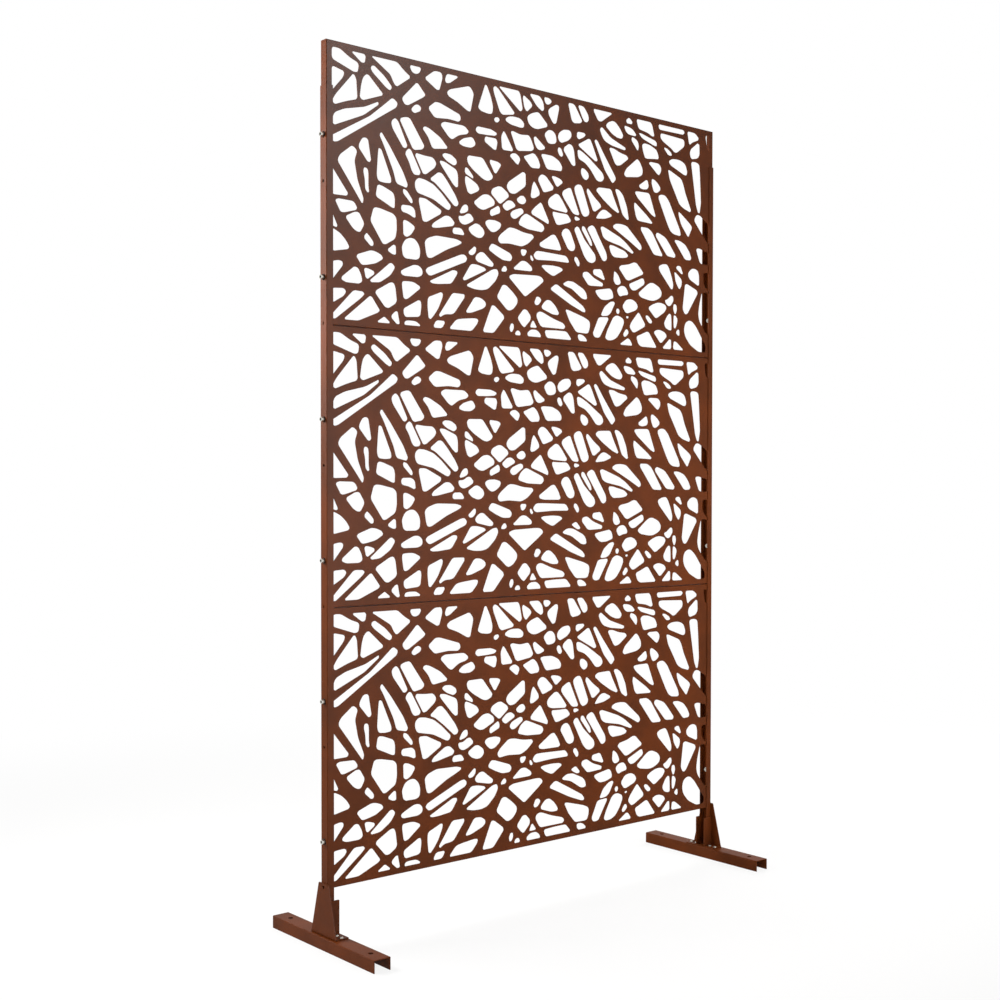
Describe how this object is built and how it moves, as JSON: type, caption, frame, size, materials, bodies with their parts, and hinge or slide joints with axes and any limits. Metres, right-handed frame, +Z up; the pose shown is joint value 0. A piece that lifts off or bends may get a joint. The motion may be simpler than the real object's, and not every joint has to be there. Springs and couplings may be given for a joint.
{
  "type": "metal privacy screen",
  "caption": "Free-standing outdoor privacy screen: stacked folded-sheet panels with a web of irregular cut-outs, held by channel posts that stand in brackets on channel feet.",
  "frame": {"origin": "on the floor, midway between the feet and midway along their length", "axes": "+X to the right seen from the front, +Y to the rear, +Z up; the panels' plain faces look to -Y"},
  "size_m": [1.221, 0.4, 1.9304],
  "materials": {
    "rust_brown_coat": "satin rust-brown powder coat on sheet steel",
    "zinc_plated_steel": "bright zinc plating",
    "black_rubber": "matt black rubber"
  },
  "bodies": {
    "root": {"top_panel": "rust_brown_coat", "middle_panel": "rust_brown_coat", "bottom_panel": "rust_brown_coat", "left_post": "rust_brown_coat", "right_post": "rust_brown_coat", "left_foot": "rust_brown_coat", "right_foot": "rust_brown_coat", "left_foot_bracket": "rust_brown_coat", "right_foot_bracket": "rust_brown_coat", "left_top_panel_bolts": "zinc_plated_steel", "right_top_panel_bolts": "zinc_plated_steel", "left_middle_panel_bolts": "zinc_plated_steel", "right_middle_panel_bolts": "zinc_plated_steel", "left_bottom_panel_bolts": "zinc_plated_steel", "right_bottom_panel_bolts": "zinc_plated_steel", "left_top_panel_washers": "black_rubber", "right_top_panel_washers": "black_rubber", "left_middle_panel_washers": "black_rubber", "right_middle_panel_washers": "black_rubber", "left_bottom_panel_washers": "black_rubber", "right_bottom_panel_washers": "black_rubber", "left_top_panel_nuts": "zinc_plated_steel", "right_top_panel_nuts": "zinc_plated_steel", "left_middle_panel_nuts": "zinc_plated_steel", "right_middle_panel_nuts": "zinc_plated_steel", "left_bottom_panel_nuts": "zinc_plated_steel", "right_bottom_panel_nuts": "zinc_plated_steel", "left_foot_bolts": "zinc_plated_steel", "right_foot_bolts": "zinc_plated_steel", "left_foot_nuts": "zinc_plated_steel", "right_foot_nuts": "zinc_plated_steel"}
  },
  "joints": []
}
